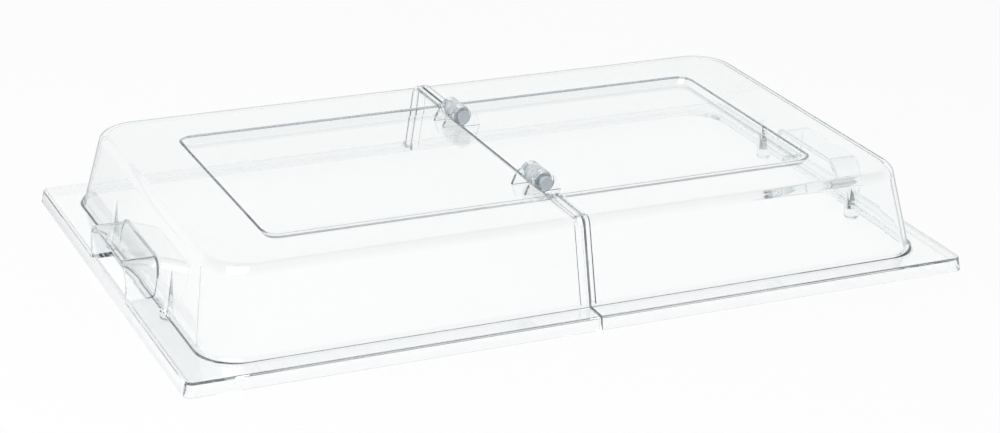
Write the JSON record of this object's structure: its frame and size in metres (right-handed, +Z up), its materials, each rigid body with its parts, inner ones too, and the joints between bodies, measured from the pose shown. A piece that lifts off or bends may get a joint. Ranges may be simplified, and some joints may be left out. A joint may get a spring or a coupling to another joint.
{
  "type": "buffet food cover dome",
  "caption": "Clear rectangular dome cover for a full-size buffet pan, made of hinged half domes with a recessed top panel, a flanged skirt and a finger hood at each end.",
  "frame": {"origin": "middle of the footprint, at the lower edge of the skirt", "axes": "+X along the length to the right half, +Y to the back, +Z up; the hinge axis runs along Y"},
  "size_m": [0.53, 0.325, 0.0722],
  "materials": {
    "clear_cover": "clear moulded polycarbonate",
    "frosted_barrel": "frosted moulded polycarbonate",
    "hinge_pin": "natural moulded plastic"
  },
  "bodies": {
    "right_half": {"right_cover": "clear_cover", "front_hinge_barrel": "frosted_barrel", "back_hinge_pin": "hinge_pin", "back_pin_cap": "hinge_pin"},
    "left_half": {"left_cover": "clear_cover", "back_hinge_barrel": "frosted_barrel", "front_hinge_pin": "hinge_pin", "front_pin_cap": "hinge_pin"}
  },
  "joints": [
    {"name": "fold", "type": "hinge", "parent": "right_half", "child": "left_half", "pos_m": [0, 0, 0.0655], "axis": [0, 1, 0], "range_deg": [0, 180]}
  ]
}
